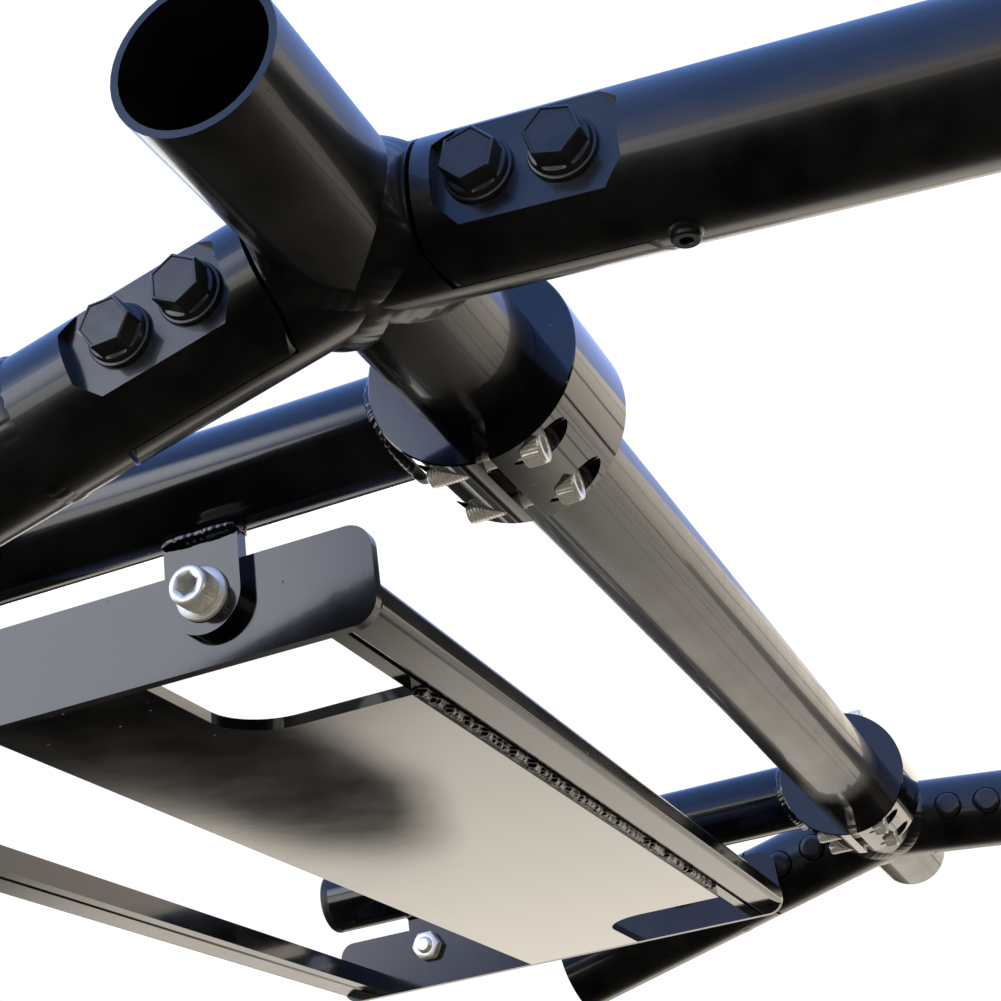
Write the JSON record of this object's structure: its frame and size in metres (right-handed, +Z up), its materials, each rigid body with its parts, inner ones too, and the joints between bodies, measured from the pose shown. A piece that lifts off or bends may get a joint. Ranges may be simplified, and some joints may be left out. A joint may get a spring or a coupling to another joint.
{
  "type": "roll cage cross-bar section with clamp-on rack",
  "caption": "Tubular roll cage section with a cross tube, bolted half-lap rail joints, and a tray rack that is clamped round the cross tube and swings on it.",
  "frame": {"origin": "on the axis of the cross tube, midway between the two rails", "axes": "+X along the cross tube, from the near side to the far side; +Y to the rear, along the rack's arms; +Z up"},
  "size_m": [1.038, 0.6696, 0.1272],
  "materials": {
    "cage_powder_coat": "satin black powder coat",
    "rack_gloss": "gloss black powder coat",
    "clamp_gloss": "gloss black over machined aluminium",
    "plate_gloss": "high gloss black powder coat",
    "black_hardware": "black oxide steel with worn edges",
    "zinc_hardware": "bright zinc plate",
    "cap_plastic": "matte black"
  },
  "bodies": {
    "cage": {"cross_tube": "cage_powder_coat", "far_front_bolt_washers": "black_hardware", "far_front_bolts": "black_hardware", "far_front_coupler": "cage_powder_coat", "far_front_lap_stub": "cage_powder_coat", "far_front_nuts": "black_hardware", "far_front_rail": "cage_powder_coat", "far_rear_bolt_washers": "black_hardware", "far_rear_bolts": "black_hardware", "far_rear_coupler": "cage_powder_coat", "far_rear_lap_stub": "cage_powder_coat", "far_rear_nuts": "black_hardware", "far_rear_rail": "cage_powder_coat", "near_front_bolt_washers": "black_hardware", "near_front_bolts": "black_hardware", "near_front_coupler": "cage_powder_coat", "near_front_lap_stub": "cage_powder_coat", "near_front_nuts": "black_hardware", "near_front_rail": "cage_powder_coat", "near_rear_bolt_washers": "black_hardware", "near_rear_bolts": "black_hardware", "near_rear_coupler": "cage_powder_coat", "near_rear_lap_stub": "cage_powder_coat", "near_rear_nuts": "black_hardware", "near_rear_rail": "cage_powder_coat"},
    "rack": {"far_arm": "rack_gloss", "far_arm_cap": "cap_plastic", "far_clamp_body": "clamp_gloss", "far_clamp_cap": "clamp_gloss", "far_clamp_screws": "zinc_hardware", "far_front_tab": "rack_gloss", "far_front_tab_nut": "zinc_hardware", "far_front_tab_screw": "zinc_hardware", "far_front_tab_washer": "zinc_hardware", "far_rear_tab": "rack_gloss", "far_rear_tab_nut": "zinc_hardware", "far_rear_tab_screw": "zinc_hardware", "far_rear_tab_washer": "zinc_hardware", "far_side_bar": "rack_gloss", "front_backing_strip": "rack_gloss", "front_crossbar": "rack_gloss", "near_arm": "rack_gloss", "near_arm_cap": "cap_plastic", "near_clamp_body": "clamp_gloss", "near_clamp_cap": "clamp_gloss", "near_clamp_screws": "zinc_hardware", "near_front_tab": "rack_gloss", "near_front_tab_nut": "zinc_hardware", "near_front_tab_screw": "zinc_hardware", "near_front_tab_washer": "zinc_hardware", "near_rear_tab": "rack_gloss", "near_rear_tab_nut": "zinc_hardware", "near_rear_tab_screw": "zinc_hardware", "near_rear_tab_washer": "zinc_hardware", "near_side_bar": "rack_gloss", "rear_backing_strip": "rack_gloss", "rear_crossbar": "rack_gloss", "tray_plate": "plate_gloss"}
  },
  "joints": [
    {"name": "rack_swing", "type": "hinge", "parent": "cage", "child": "rack", "pos_m": [0, 0, 0], "axis": [1, 0, 0], "range_deg": [-75, 100]}
  ]
}
